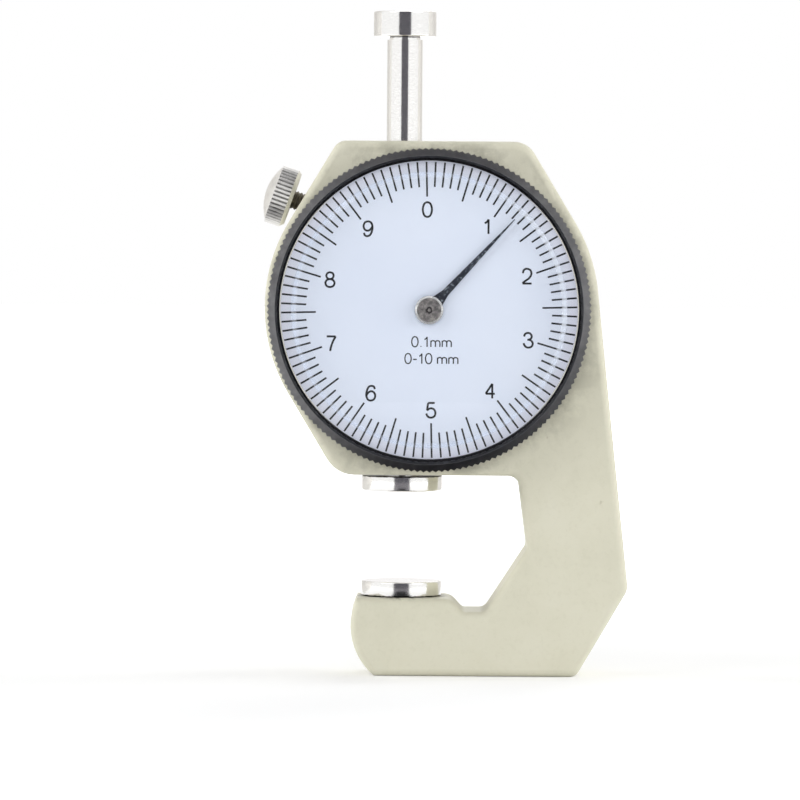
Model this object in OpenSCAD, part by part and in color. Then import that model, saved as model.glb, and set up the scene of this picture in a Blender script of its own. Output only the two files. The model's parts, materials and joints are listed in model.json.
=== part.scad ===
// Dial thickness gauge: a cast C frame, a spring-lifted rack plunger, a pointer turned by its pinion,
// a turning bezel that carries the dial, and a lock screw that holds the reading.
// Millimetres, +Z up, the dial faces -Y. The origin lies on the foot, straight below the measuring
// axis, in the middle of the frame's thickness. Drawn with the plunger up.

/* [Measuring] */
// Diameter of both measuring discs
contact_d = 10; // [8:0.5:10.5]
// Thickness of both measuring discs
contact_t = 1.9; // [1.5:0.1:2.5]
// Plunger travel for one turn of the pointer
turn_travel = 10; // [9:0.5:10.5]
// Travel beyond that one turn
overrun = 1.233; // [0.6:0.001:1.6]
// Diameter of the plunger rod
rod_d = 4.4; // [4.2:0.1:4.8]
// Diameter of the press cap
cap_d = 7.8; // [6:0.2:9]
// Height of the press cap
cap_h = 3.15; // [2.6:0.05:4]

/* [Frame] */
// Thickness of the frame, front to back
frame_t = 12; // [12:0.5:15]
// Height of the anvil seat above the foot
arm_h = 9.7; // [8.5:0.1:10.8]
// Measuring axis to the deepest point of the throat
throat_depth = 15.6; // [15.2:0.2:19]
// Height of the heel's corner above the foot
heel_h = 10.9; // [8:0.1:13]
// Lean of the grip edge from upright, in degrees
grip_lean = 6.1; // [3:0.1:8]
// Slope of the case's four flanks from upright, in degrees
flank_lean = 31; // [29:0.5:33]

/* [Dial] */
// Diameter over the knurl of the bezel
bezel_d = 40; // [39:0.5:44]
// Teeth of the bezel's knurl
knurl_teeth = 165; // [120:1:180]
// Depth of the bezel's knurl
knurl_depth = 0.25; // [0.15:0.05:0.35]
// Width of the bezel's ring in front of the window
rim_w = 1.55; // [1.45:0.05:2]
// Length of the pointer from its axis to the tip
pointer_len = 15.4; // [12:0.1:17]
// Turn of the pointer from upright, in degrees
pointer_turn = 43; // [0:1:359]

/* [Movement] */
// Teeth of the pinion
pinion_teeth = 16; // [14:1:18]
// Width of the pinion
pinion_w = 2.4; // [2:0.1:3]
// Diameter of the arbor's journal
arbor_d = 1.8; // [1.6:0.1:2]
// Diameter of the spring wire
wire_d = 0.35; // [0.3:0.01:0.4]
// Turns of the return spring
spring_turns = 8; // [6:1:9]

/* [Lock screw] */
// Diameter over the knob's knurl
knob_d = 7.6; // [6.6:0.1:7.8]
// Teeth of the knob's knurl
knob_teeth = 44; // [36:1:52]
// Diameter of the threaded stud
stud_d = 2.4; // [2.2:0.1:2.6]
// Slope of the screw below level, in degrees
lock_tilt = 19.5; // [17:0.5:21]

/* [Fits] */
// Radial clearance of a running shaft or slide
run_gap = 0.03; // [0.02:0.01:0.05]
// Clearance between pieces that only pass each other
free_gap = 0.2; // [0.15:0.05:0.25]
// Gap left between the measuring faces at the end of the travel
face_gap = 0.02; // [0.01:0.01:0.05]
// Backlash between the rack and the pinion, at the pitch line
backlash = 0.05; // [0.04:0.01:0.08]

/* [Hidden] */
$fn = 64;

// Heights along the measuring axis
rod_r = rod_d / 2;
travel = turn_travel + overrun;
anvil_top = arm_h + contact_t;
disc_bottom = anvil_top + travel + face_gap;
disc_top = disc_bottom + contact_t;
case_floor = disc_top + free_gap;

// Case circle, on which the top, the floor, the flanks and the grip edge are tangents
case_r = bezel_d / 2 + 0.75;
case_z = case_floor + case_r;
case_top = case_z + case_r;

// Rack and pinion: the plunger's travel per turn sets the pitch circle
rack_pitch = turn_travel / pinion_teeth;
tooth_m = rack_pitch / PI;
tooth_up = 0.8 * tooth_m;
tooth_down = 1.05 * tooth_m;
pressure = 20;
pitch_r = turn_travel / (2 * PI);
rack_line = rod_r - 0.43 - tooth_up;

// Dial axis, and the case circle a little to its right and above it
dial_x = rack_line + pitch_r;
dial_z = case_z - 0.15;
case_x = dial_x + 0.35;
case_c = [case_x, case_z];

// Outline of the throat, the arm and the heel
elbow_z = arm_h + 6.3;
wall_lean = 7.4;
throat_slope = 57;
notch_z = arm_h - 1.65;
pad_end = contact_d / 2 + 1.2;
wall_top_x = throat_depth - (case_floor - elbow_z) * tan(wall_lean);
slope_x = throat_depth - (elbow_z - notch_z) / tan(throat_slope);
nose_r = 8.07;
nose_c = [1.8, arm_h - 3.5];
nose_up = asin((arm_h - nose_c[1]) / nose_r);
nose_down = asin(nose_c[1] / nose_r);
heel_x = case_x + (case_r - (heel_h - case_z) * sin(grip_lean)) / cos(grip_lean);
heel_foot_x = heel_x - heel_h * tan(30.4);

// Depths, counted from the frame's middle towards the dial
face = frame_t / 2;
web_back = face - 2.6;
cover_in = -face + 1.2;
bridge_in = -rod_r - 1;
bridge_out = bridge_in - 0.9;
collar_top = face + 1.6;
dial_back = collar_top + 0.1;
dial_front = dial_back + 0.4;
crystal_in = dial_front + 1.5;
crystal_front = crystal_in + 1.2;
bezel_back = face + 0.25;
bezel_front = crystal_front + 0.2;
pointer_back = dial_front + 0.4;
pointer_front = pointer_back + 0.22;
boss_front = crystal_in - 0.25;

// Radii round the dial axis
bezel_r = bezel_d / 2;
window_r = bezel_r - rim_w;
dial_r = bezel_r - 1.25;
collar_r = dial_r - 0.05;
collar_in_r = collar_r - 1.5;
skirt_r = collar_r + 0.1;
cavity_r = bezel_r - 3.4;
cover_r = cavity_r + 1;
ring_z = face + 0.9;
ring_wire = 0.3;
lip_r = bezel_r - 0.95;
seat_r = window_r + 0.3;

// Bushes, bearings and screws
bush_r = rod_r + 0.8;
bush_bore = rod_r + run_gap;
lower_bush_top = case_floor + 2.6;
upper_bush_low = dial_z + sqrt(cavity_r * cavity_r - dial_x * dial_x) - 0.5;
arbor_r = arbor_d / 2;
bearing_r = arbor_r + 0.8;
pivot_r = 0.5;
pillars = [[dial_x + 6.5, dial_z + 5.5], [dial_x + 6.5, dial_z - 5.5]];
cover_holes = [for (a = [60, 180, 300]) [dial_x, dial_z] + (cavity_r - 1) * [cos(a), sin(a)]];
screw_r = 0.7;
head_r = 1.3;

// Spring, its clip and the guide pin on the rod
clip_t = 0.5;
clip_top = dial_z - pitch_r - tooth_up - 0.25;
clip_r = rod_r + 0.6;
coil_r = rod_r + 0.2 + wire_d / 2;
spring_low = lower_bush_top + wire_d / 2;
spring_high = clip_top - clip_t - wire_d / 2;
pin_r = 0.6;
pin_z = dial_z + 4.5;
slot_deep = 1.6;

// Lock screw: distances along its axis from the measuring axis, negative outside the case
lock_z = dial_z + 8.65;
pad_gap = 0.12;
knob_gap = 0.35;
flank_out = [-cos(flank_lean), sin(flank_lean)];
lock_mouth = (([0, lock_z] - case_c) * flank_out - case_r) / cos(flank_lean - lock_tilt);
knob_in = lock_mouth - knob_d / 2 * tan(flank_lean - lock_tilt) - knob_gap;
stud_tip = -5.4;
pad_r = stud_d / 2 - 0.25;
tail_r = pad_r - 0.3;

// Points of an arc about c from angle a to angle b
function arc(c, r, a, b, n) = [for (i = [0:n]) c + r * [cos(a + (b - a) * i / n), sin(a + (b - a) * i / n)]];

// Corner where the tangents of the case circle at angles a and b meet
function tangents(a, b) = case_c + case_r / cos((b - a) / 2) * [cos((a + b) / 2), sin((a + b) / 2)];

// The corner p between before and after, rounded to r in n steps
function rounded(before, p, after, r, n) =
  let (u = (before - p) / norm(before - p))
  let (v = (after - p) / norm(after - p))
  let (half = acos(u * v) / 2)
  let (c = p + (u + v) / norm(u + v) * r / sin(half))
  let (t = p + u * r / tan(half) - c)
  let (a = atan2(t[1], t[0]))
  let (way = u[0] * v[1] - u[1] * v[0] < 0 ? 1 : -1)
  arc(c, r, a, a + way * (180 - 2 * half), n);

// Frame outline: its corners with the radius and the steps of each
pad_start = nose_c + nose_r * [-cos(nose_up), sin(nose_up)];
foot_start = nose_c - nose_r * [cos(nose_down), sin(nose_down)];
corners = [
  [[heel_foot_x, 0], 1.2, 4],
  [[heel_x, heel_h], 2, 6],
  [tangents(grip_lean, flank_lean), case_r, 10],
  [tangents(flank_lean, 90), 3, 6],
  [tangents(90, 180 - flank_lean), 1.8, 6],
  [tangents(180 - flank_lean, 180 + flank_lean), case_r, 24],
  [tangents(180 + flank_lean, 270), 4, 6],
  [[wall_top_x, case_floor], 1.5, 6],
  [[throat_depth, elbow_z], 1.2, 4],
  [[slope_x, notch_z], 1.2, 4],
  [[pad_end + 1.45, notch_z], 1, 4],
  [[pad_end, arm_h], 2, 6],
];
function corner_at(i) = i < 0 ? foot_start : i == len(corners) ? pad_start : corners[i][0];
function corner_points(i) = rounded(corner_at(i - 1), corner_at(i), corner_at(i + 1), corners[i][1], corners[i][2]);
frame_path = concat(
  [for (i = [0:len(corners) - 1]) each corner_points(i)],
  arc(nose_c, nose_r, 180 - nose_up, 180 + nose_down, 14));

// Involute pinion: half the tooth's angle at radius r, and the radii along a flank
base_r = pitch_r * cos(pressure);
function involute(r) = let (a = acos(min(1, base_r / r))) tan(a) * 180 / PI - a;
function half_tooth(r) =
  90 / pinion_teeth - backlash / pitch_r * 45 / PI + involute(pitch_r) - involute(max(r, base_r));
flank = [for (i = [0:4]) base_r + (pitch_r + tooth_up - base_r) * i / 4];
flank_r = concat([pitch_r - tooth_down], flank);
function on_flank(k, r, side) =
  let (a = 180 + k * 360 / pinion_teeth + side * half_tooth(r))
  r * [cos(a), sin(a)];
pinion_path = [for (k = [0:pinion_teeth - 1])
  each concat([for (r = flank_r) on_flank(k, r, -1)],
    [for (i = [len(flank_r) - 1:-1:0]) on_flank(k, flank_r[i], 1)])];

// What the rack cutter takes from the rod's right side, in x and z
rack_low = dial_z - 2.5 * rack_pitch;
gap_count = ceil(travel / rack_pitch) + 3;
function gap_half(x) = rack_pitch / 4 + (x - rack_line) * tan(pressure);
rack_tip = rack_line + tooth_up;
rack_root = rack_line - tooth_down;
rack_path = concat(
  [[rod_r + 1, rack_low], [rack_tip, rack_low]],
  [for (k = [-2:gap_count - 1])
    let (z = dial_z + k * rack_pitch)
    each [[rack_tip, z - gap_half(rack_tip)], [rack_root, z - gap_half(rack_root)],
      [rack_root, z + gap_half(rack_root)], [rack_tip, z + gap_half(rack_tip)]]],
  [[rack_tip, dial_z + (gap_count - 0.5) * rack_pitch],
    [rod_r + 1, dial_z + (gap_count - 0.5) * rack_pitch]]);

// A ring of teeth with sharp crests
function knurl(r, deep, teeth) = [for (i = [0:2 * teeth - 1])
  (i % 2 == 0 ? r : r - deep) * [cos(180 * i / teeth), sin(180 * i / teeth)]];

// Lays a shape on the dial axis, its z pointing to the front
module at_dial() {
  translate([dial_x, 0, dial_z]) rotate([90, 0, 0]) children();
}

// The same from a point in x and z
module facing(p) {
  translate([p[0], 0, p[1]]) rotate([90, 0, 0]) children();
}

// Lays a shape on the lock screw's axis, its z pointing into the case
module at_lock() {
  translate([0, 0, lock_z]) rotate([0, 90 + lock_tilt, 0]) children();
}

// A cylinder between two depths
module rod(r, low, high) {
  translate([0, 0, low]) cylinder(r = r, h = high - low);
}

// A disc with both rims chamfered
module chamfered_disc(r, low, high, c) {
  rotate_extrude()
    polygon([[0, low], [r - c, low], [r, low + c], [r, high - c], [r - c, high], [0, high]]);
}

// The frame's plate before any machining
module frame_blank() {
  rotate([90, 0, 0]) linear_extrude(height = frame_t, center = true) polygon(frame_path);
}

// Web in front of the movement, and the collar on it that the bezel turns on, with a snap ring groove
module web_and_collar() {
  at_dial() rotate_extrude()
    polygon([[0, web_back], [collar_r, web_back], [collar_r, ring_z - 0.35],
      [collar_r - 0.4, ring_z - 0.35], [collar_r - 0.4, ring_z + 0.35], [collar_r, ring_z + 0.35],
      [collar_r, collar_top], [collar_in_r, collar_top], [collar_in_r, face], [0, face]]);
}

// Bosses cast inside the case: two bridge pillars, three cover bosses and the lock screw's
module case_bosses() {
  for (p = pillars) facing(p) rod(1.8, bridge_in, web_back + 0.5);
  intersection() {
    at_dial() rod(cavity_r + 0.5, cover_in, web_back + 0.5);
    union() {
      for (p = cover_holes) facing(p) rod(1.8, cover_in, web_back + 0.5);
      at_lock() {
        rod(2.3, lock_mouth, stud_tip - 0.6);
        translate([-1.6, -web_back - 0.5, lock_mouth])
          cube([3.2, web_back + 0.5, stud_tip - 0.6 - lock_mouth]);
      }
    }
  }
}

module frame() {
  color([0.85, 0.84, 0.76])
  difference() {
    union() {
      difference() {
        frame_blank();
        at_dial() rod(cavity_r, cover_in - 1, face + 1);
        at_dial() rod(collar_r - 0.4, web_back + 0.6, face + 1);
        at_dial() rod(cover_r + 0.05, -face - 1, cover_in);
      }
      web_and_collar();
      case_bosses();
    }
    rod(bush_r, case_floor - 1, lower_bush_top + 6);
    rod(bush_r, upper_bush_low - 2, case_top + 1);
    rod(2, arm_h - 6.2, arm_h + 1);
    at_dial() rod(bearing_r, web_back - 1, face + 1);
    at_lock() rod(stud_d / 2 + run_gap, knob_in - 2, stud_tip + 1);
    for (p = pillars) facing(p) rod(screw_r, bridge_in - 1, bridge_in + 4);
    for (p = cover_holes) facing(p) rod(screw_r, cover_in - 1, cover_in + 4);
    translate([-pin_r - run_gap, -web_back - slot_deep, pin_z - travel - 1.2])
      cube([2 * (pin_r + run_gap), slot_deep + 1, travel + 2.4]);
  }
}

module anvil() {
  color([0.8, 0.8, 0.82]) {
    chamfered_disc(contact_d / 2, arm_h, anvil_top, 0.2);
    rod(2, arm_h - 6, arm_h + 0.5);
  }
}

module upper_bush() {
  color([0.78, 0.62, 0.32])
  difference() {
    rod(bush_r, upper_bush_low, case_top - 0.15);
    rod(bush_bore, upper_bush_low - 1, case_top + 1);
  }
}

module lower_bush() {
  color([0.78, 0.62, 0.32])
  difference() {
    rod(bush_r, case_floor, lower_bush_top);
    rod(bush_bore, case_floor - 1, lower_bush_top + 1);
  }
}

module front_bearing() {
  color([0.78, 0.62, 0.32])
  at_dial() difference() {
    rod(bearing_r, web_back, face);
    rod(arbor_r + run_gap, web_back - 1, face + 1);
  }
}

module pinion_bridge() {
  color([0.75, 0.72, 0.6])
  difference() {
    translate([0, -bridge_in, 0]) rotate([90, 0, 0])
      translate([0, 0, bridge_out - bridge_in]) linear_extrude(height = bridge_in - bridge_out) hull() {
        translate([dial_x, dial_z]) circle(r = 2.4);
        for (p = pillars) translate(p) circle(r = 2.2);
      }
    at_dial() rod(pivot_r + 0.6, bridge_out - 1, bridge_in + 1);
    for (p = pillars) facing(p) rod(screw_r + 0.1, bridge_out - 1, bridge_in + 1);
  }
}

module rear_bearing() {
  color([0.78, 0.62, 0.32])
  at_dial() difference() {
    rod(pivot_r + 0.6, bridge_out, bridge_in);
    rod(pivot_r + run_gap, bridge_out - 1, bridge_in + 1);
  }
}

module bridge_screws() {
  color([0.6, 0.6, 0.62])
  for (p = pillars) facing(p) difference() {
    union() {
      rod(screw_r - 0.02, bridge_out - 0.1, bridge_in + 3.5);
      rod(head_r, bridge_out - 0.5, bridge_out);
    }
    translate([-2, -0.18, bridge_out - 0.6]) cube([4, 0.36, 0.35]);
  }
}

module back_cover() {
  color([0.72, 0.72, 0.72])
  difference() {
    at_dial() chamfered_disc(cover_r, -face, cover_in, 0.2);
    for (p = cover_holes) facing(p) {
      rod(screw_r + 0.1, -face - 1, cover_in + 1);
      translate([0, 0, -face]) cylinder(r1 = head_r + 0.1, r2 = screw_r + 0.1, h = 0.7);
    }
  }
}

module cover_screws() {
  color([0.6, 0.6, 0.62])
  for (p = cover_holes) facing(p) difference() {
    union() {
      rod(screw_r - 0.02, -face + 0.3, cover_in + 3.5);
      translate([0, 0, -face + 0.03]) cylinder(r1 = head_r, r2 = screw_r - 0.02, h = 0.68);
    }
    translate([-2, -0.18, -face - 0.1]) cube([4, 0.36, 0.45]);
  }
}

module bezel_snap_ring() {
  color([0.6, 0.6, 0.62])
  at_dial() rotate_extrude(angle = 330)
    translate([collar_r + 0.05, ring_z]) circle(r = ring_wire, $fn = 24);
}

module plunger_rod() {
  color([0.8, 0.8, 0.82])
  difference() {
    union() {
      rod(rod_r, disc_top, case_top + travel + 1.4);
      rod(rod_r - 0.3, case_top + travel + 1.3, case_top + travel + 1.8);
      rod(1.5, case_top + travel + 1.7, case_top + travel + 3.6);
    }
    rod(1.2, disc_top - 1, disc_top + 4.2);
    rotate([90, 0, 0]) linear_extrude(height = 10, center = true) polygon(rack_path);
    facing([0, pin_z]) rod(pin_r, -1.6, rod_r + 1);
    difference() {
      rod(clip_r + 1, clip_top - clip_t, clip_top);
      rod(rod_r - 0.4, clip_top - clip_t - 1, clip_top + 1);
    }
  }
}

module plunger_cap() {
  low = case_top + travel + 1.8;
  color([0.8, 0.8, 0.82])
  difference() {
    chamfered_disc(cap_d / 2, low, low + cap_h, 0.2);
    rod(1.5, low - 1, low + 2);
  }
}

module contact_disc() {
  color([0.8, 0.8, 0.82]) {
    chamfered_disc(contact_d / 2, disc_bottom, disc_top, 0.2);
    rod(1.2, disc_top - 0.5, disc_top + 4);
  }
}

module guide_pin() {
  color([0.7, 0.7, 0.72])
  facing([0, pin_z]) rod(pin_r, -1.5, web_back + slot_deep - 0.3);
}

module spring_clip() {
  color([0.6, 0.6, 0.62])
  difference() {
    rod(clip_r, clip_top - clip_t, clip_top);
    rod(rod_r - 0.4, clip_top - clip_t - 1, clip_top + 1);
    translate([-rod_r + 0.7, 0, clip_top - clip_t - 1]) cube([2 * rod_r - 1.4, 5, clip_t + 2]);
  }
}

module return_spring() {
  around = 20;
  sides = 6;
  n = spring_turns * around;
  rise = spring_high - spring_low;
  ring = [for (j = [0:sides - 1]) wire_d / 2 * [cos(360 * j / sides), sin(360 * j / sides)]];
  coil = [for (i = [0:n]) each [for (q = ring)
    let (a = 360 * i / around)
    let (r = coil_r + q[0])
    [r * cos(a), r * sin(a), spring_low + rise * i / n + q[1]]]];
  skin = [for (i = [0:n - 1]) each [for (j = [0:sides - 1])
    [i * sides + j, i * sides + (j + 1) % sides, (i + 1) * sides + (j + 1) % sides, (i + 1) * sides + j]]];
  first = [for (j = [sides - 1:-1:0]) j];
  last = [for (j = [0:sides - 1]) n * sides + j];
  color([0.55, 0.55, 0.58])
  polyhedron(points = coil, faces = concat(skin, [first, last]), convexity = 10);
}

module pinion_arbor() {
  color([0.8, 0.7, 0.4])
  at_dial() {
    translate([0, 0, -pinion_w / 2]) linear_extrude(height = pinion_w) polygon(pinion_path);
    rod(pivot_r, bridge_out + 0.1, 0);
    rod(1.0, bridge_in + 0.1, 0);
    rod(arbor_r, 0, dial_front + 0.1);
    rod(0.6, dial_front, boss_front - 0.2);
  }
}

module pointer() {
  w = 0.46;
  color([0.08, 0.09, 0.14])
  at_dial() translate([0, 0, pointer_back]) rotate([0, 0, -pointer_turn])
    linear_extrude(height = pointer_front - pointer_back) difference() {
      union() {
        circle(r = 1.65);
        polygon([[0.95, 1.2], [0.72, 1.8], [w, 2.9], [0.05, pointer_len],
          [-0.05, pointer_len], [-w, 2.9], [-0.72, 1.8], [-0.95, 1.2]]);
      }
      circle(r = 0.85);
    }
}

module pointer_boss() {
  color([0.7, 0.7, 0.72])
  at_dial() difference() {
    union() {
      rod(0.85, pointer_back - 0.2, pointer_front + 0.05);
      rotate_extrude()
        polygon([[0, pointer_front], [1.75, pointer_front], [1.75, boss_front - 0.22],
          [1.5, boss_front], [0, boss_front]]);
    }
    rod(0.6, pointer_back - 1, boss_front - 0.2);
  }
}

module dial_plate() {
  color([0.87, 0.9, 0.96])
  at_dial() difference() {
    rod(dial_r, dial_back, dial_front);
    rod(arbor_r + 0.5, dial_back - 1, dial_front + 1);
  }
}

module bezel() {
  color([0.12, 0.12, 0.13])
  at_dial() difference() {
    translate([0, 0, bezel_back]) linear_extrude(height = bezel_front - bezel_back)
      polygon(knurl(bezel_r, knurl_depth, knurl_teeth));
    rotate_extrude($fn = 240)
      polygon([[0, bezel_back - 1], [skirt_r, bezel_back - 1], [skirt_r, ring_z - 0.35],
        [skirt_r + 0.3, ring_z - 0.35], [skirt_r + 0.3, ring_z + 0.35], [skirt_r, ring_z + 0.35],
        [skirt_r, dial_back - 0.05], [dial_r, dial_back - 0.05], [dial_r, dial_front],
        [window_r, dial_front], [window_r, crystal_in], [seat_r, crystal_in],
        [seat_r, crystal_front - 0.5], [lip_r, bezel_front], [lip_r, bezel_front + 1],
        [0, bezel_front + 1]]);
  }
}

module crystal() {
  color([0.85, 0.92, 0.95, 0.35])
  at_dial() rotate_extrude()
    polygon([[0, crystal_in], [seat_r, crystal_in], [seat_r, crystal_front - 0.5],
      [window_r - 1.4, crystal_front - 0.5], [window_r - 2.1, crystal_front], [0, crystal_front]]);
}

module lock_knob() {
  dome = 1.05;
  knurled = 2;
  shoulder = 0.45;
  r = knob_d / 2;
  dome_r = ((r - 0.3) * (r - 0.3) + dome * dome) / (2 * dome);
  color([0.8, 0.8, 0.82])
  at_lock() translate([0, 0, knob_in]) difference() {
    union() {
      translate([0, 0, -shoulder - knurled]) linear_extrude(height = knurled)
        polygon(knurl(r, 0.22, knob_teeth));
      translate([0, 0, -shoulder]) cylinder(r1 = r - 0.12, r2 = r - 0.5, h = shoulder);
      intersection() {
        translate([0, 0, -shoulder - knurled - dome + dome_r]) sphere(r = dome_r);
        rod(r - 0.3, -shoulder - knurled - dome, -shoulder - knurled + 0.1);
      }
    }
    rod(stud_d / 2, -2, 1);
  }
}

module lock_stud() {
  color([0.25, 0.25, 0.25])
  at_lock() difference() {
    union() {
      rod(stud_d / 2, knob_in - 1.9, stud_tip);
      rod(stud_d / 2 + 0.25, knob_in + 0.15, knob_in + 0.4);
    }
    rod(tail_r + run_gap, stud_tip - 1.2, stud_tip + 1);
  }
}

module lock_pad() {
  color([0.78, 0.62, 0.32])
  difference() {
    at_lock() {
      rod(pad_r, stud_tip, -1);
      rod(tail_r, stud_tip - 1, stud_tip + 0.5);
    }
    rod(rod_r + pad_gap, lock_z - 6, lock_z + 6);
  }
}

frame();
anvil();
upper_bush();
lower_bush();
front_bearing();
pinion_bridge();
rear_bearing();
bridge_screws();
back_cover();
cover_screws();
bezel_snap_ring();
plunger_rod();
plunger_cap();
contact_disc();
guide_pin();
spring_clip();
return_spring();
pinion_arbor();
pointer();
pointer_boss();
dial_plate();
bezel();
crystal();
lock_knob();
lock_stud();
lock_pad();
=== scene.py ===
"""Looks of the dial thickness gauge: finishes, printed dial, thread, coil spring, studio and camera."""

import json
import math

import bmesh
import bpy
from mathutils import Matrix, Vector


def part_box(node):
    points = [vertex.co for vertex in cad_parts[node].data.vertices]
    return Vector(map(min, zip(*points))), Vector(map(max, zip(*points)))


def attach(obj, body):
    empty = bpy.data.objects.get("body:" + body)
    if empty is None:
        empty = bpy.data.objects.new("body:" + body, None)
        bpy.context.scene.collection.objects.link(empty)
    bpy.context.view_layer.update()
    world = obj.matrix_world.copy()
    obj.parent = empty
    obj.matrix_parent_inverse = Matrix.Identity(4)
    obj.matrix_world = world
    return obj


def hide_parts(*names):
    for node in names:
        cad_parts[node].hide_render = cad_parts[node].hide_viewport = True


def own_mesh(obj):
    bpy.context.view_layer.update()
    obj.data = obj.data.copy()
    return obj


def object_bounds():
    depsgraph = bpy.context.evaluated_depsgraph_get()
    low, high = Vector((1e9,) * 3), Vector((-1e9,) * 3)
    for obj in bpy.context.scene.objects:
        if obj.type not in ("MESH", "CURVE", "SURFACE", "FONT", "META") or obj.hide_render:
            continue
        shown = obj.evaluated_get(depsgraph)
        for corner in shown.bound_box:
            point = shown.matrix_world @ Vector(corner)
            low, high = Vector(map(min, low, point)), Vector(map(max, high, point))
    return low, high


MM = 0.001

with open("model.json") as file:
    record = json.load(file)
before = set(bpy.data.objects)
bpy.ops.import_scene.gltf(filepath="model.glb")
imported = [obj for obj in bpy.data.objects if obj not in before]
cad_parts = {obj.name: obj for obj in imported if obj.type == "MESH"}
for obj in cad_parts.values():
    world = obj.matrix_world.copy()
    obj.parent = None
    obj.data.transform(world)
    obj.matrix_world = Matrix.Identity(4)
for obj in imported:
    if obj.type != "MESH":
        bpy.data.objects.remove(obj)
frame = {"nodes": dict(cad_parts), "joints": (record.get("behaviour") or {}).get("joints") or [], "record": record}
cad_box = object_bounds()
nodes = frame["nodes"]
joints = {j["name"]: j for j in frame["joints"]}

DIAL_AXIS = Vector(joints["bezel_turn"]["pos_m"])
DIAL_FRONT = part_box("dial_plate")[0].y
BEZEL_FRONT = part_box("bezel")[0].y
SCREW_POINT = Vector(joints["lock_screw_turn"]["pos_m"])
SCREW_AXIS = Vector(joints["lock_screw_turn"]["axis"]).normalized()

# Sizes of the CAD solids that the finishes and the turned pieces follow
FRAME_FRONT = -6.0 * MM
ARM_TOP = 9.7 * MM
DISC_R = 5.0 * MM
BEZEL_R = 20.0 * MM
LIP_R = 19.05 * MM
WINDOW_R = 18.45 * MM
SHOULDER_IN = 16.35 * MM
SHOULDER_OUT = 17.05 * MM
HUB_FACE_R = 1.5 * MM
CONTACT_T = 1.9 * MM
ANVIL_STEM_R = 2.0 * MM
CONTACT_STUD_R = 1.2 * MM
CAP_BORE_R = 1.5 * MM
CAP_BORE = 2.0 * MM

# Reach of the painted shade round the bezel and under the anvil, and of the painted light on the dial's rim
BEZEL_SHADE_REACH = 4.0 * MM
ANVIL_SHADE_REACH = 1.1 * MM
ANVIL_SHADE_FALL = 0.55 * MM
DIAL_RIM_LIGHT = (16.2 * MM, 17.8 * MM)

# Sides of the dial, in degrees clockwise from the top: the right side, about which the painted reflection on the
# window's edge lies; the side of the painted shade on the bezel's front ring; the side of the painted highlight on
# the window's shoulder
RIGHT_SIDE = 90
SHADED_SIDE = 160
HIGHLIGHT_SIDE = 75


# Node helpers

def new_material(name):
    """A material with a Principled shader: its node tree, that shader and the object coordinates."""
    made = bpy.data.materials.new(name)
    made.use_nodes = True
    tree = made.node_tree
    shader = tree.nodes["Principled BSDF"]
    coords = tree.nodes.new("ShaderNodeTexCoord").outputs["Object"]
    return made, tree, shader, coords


def noise(tree, coords, scale, detail=4.0, rough=0.6, stretch=None):
    """Noise of so many features per metre, stretched per axis where asked."""
    if stretch:
        mapping = tree.nodes.new("ShaderNodeMapping")
        mapping.inputs["Scale"].default_value = stretch
        tree.links.new(coords, mapping.inputs["Vector"])
        coords = mapping.outputs["Vector"]
    node = tree.nodes.new("ShaderNodeTexNoise")
    node.inputs["Scale"].default_value = scale
    node.inputs["Detail"].default_value = detail
    node.inputs["Roughness"].default_value = rough
    tree.links.new(coords, node.inputs["Vector"])
    return node.outputs["Fac"]


def ramp(tree, factor, *stops):
    """Colours along a factor; each stop is (position, colour)."""
    node = tree.nodes.new("ShaderNodeValToRGB")
    elements = node.color_ramp.elements
    while len(elements) < len(stops):
        elements.new(0.5)
    for element, (position, colour) in zip(elements, stops):
        element.position = position
        element.color = (*colour, 1.0)
    tree.links.new(factor, node.inputs["Fac"])
    return node.outputs["Color"]


def mix(tree, factor, a, b, blend="MIX"):
    """Two colours or sockets mixed by a socket or a number."""
    node = tree.nodes.new("ShaderNodeMix")
    node.data_type = "RGBA"
    node.blend_type = blend
    for socket, value in (("Factor", factor), ("A", a), ("B", b)):
        slot = next(s for s in node.inputs if s.name == socket and s.enabled)
        if isinstance(value, bpy.types.NodeSocket):
            tree.links.new(value, slot)
        else:
            slot.default_value = (*value, 1.0) if isinstance(value, tuple) else value
    return next(s for s in node.outputs if s.enabled)


def spread(tree, factor, low, high):
    """A noise factor, which keeps to 0.3 to 0.7, brought to the range low to high."""
    return between(tree, factor, 0.3, 0.7, low, high)


def vector_maths(tree, operation, a, b=None):
    """The node of a calculation with one or two vectors, each a socket or a fixed vector."""
    node = tree.nodes.new("ShaderNodeVectorMath")
    node.operation = operation
    for slot, value in zip(node.inputs, (a, b)):
        if isinstance(value, bpy.types.NodeSocket):
            tree.links.new(value, slot)
        elif value is not None:
            slot.default_value = value
    return node


def length_of(tree, vector):
    """Length of a vector."""
    return vector_maths(tree, "LENGTH", vector).outputs["Value"]


def from_dial(tree, coords):
    """The shaded point, measured from the dial axis."""
    return vector_maths(tree, "SUBTRACT", coords, DIAL_AXIS).outputs["Vector"]


def dial_radius(tree, coords):
    """Distance of the shaded point from the dial axis."""
    flat = vector_maths(tree, "MULTIPLY", from_dial(tree, coords), (1, 0, 1))
    return length_of(tree, flat.outputs["Vector"])


def dial_side(tree, coords, turn):
    """How far the shaded point lies from the dial axis towards an angle, clockwise from the top."""
    a = math.radians(turn)
    towards = (math.sin(a), 0, math.cos(a))
    return vector_maths(tree, "DOT_PRODUCT", from_dial(tree, coords), towards).outputs["Value"]


def axis_radius(tree, coords):
    """Distance of the shaded point from the measuring axis."""
    flat = vector_maths(tree, "MULTIPLY", coords, (1, 1, 0))
    return length_of(tree, flat.outputs["Vector"])


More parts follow.
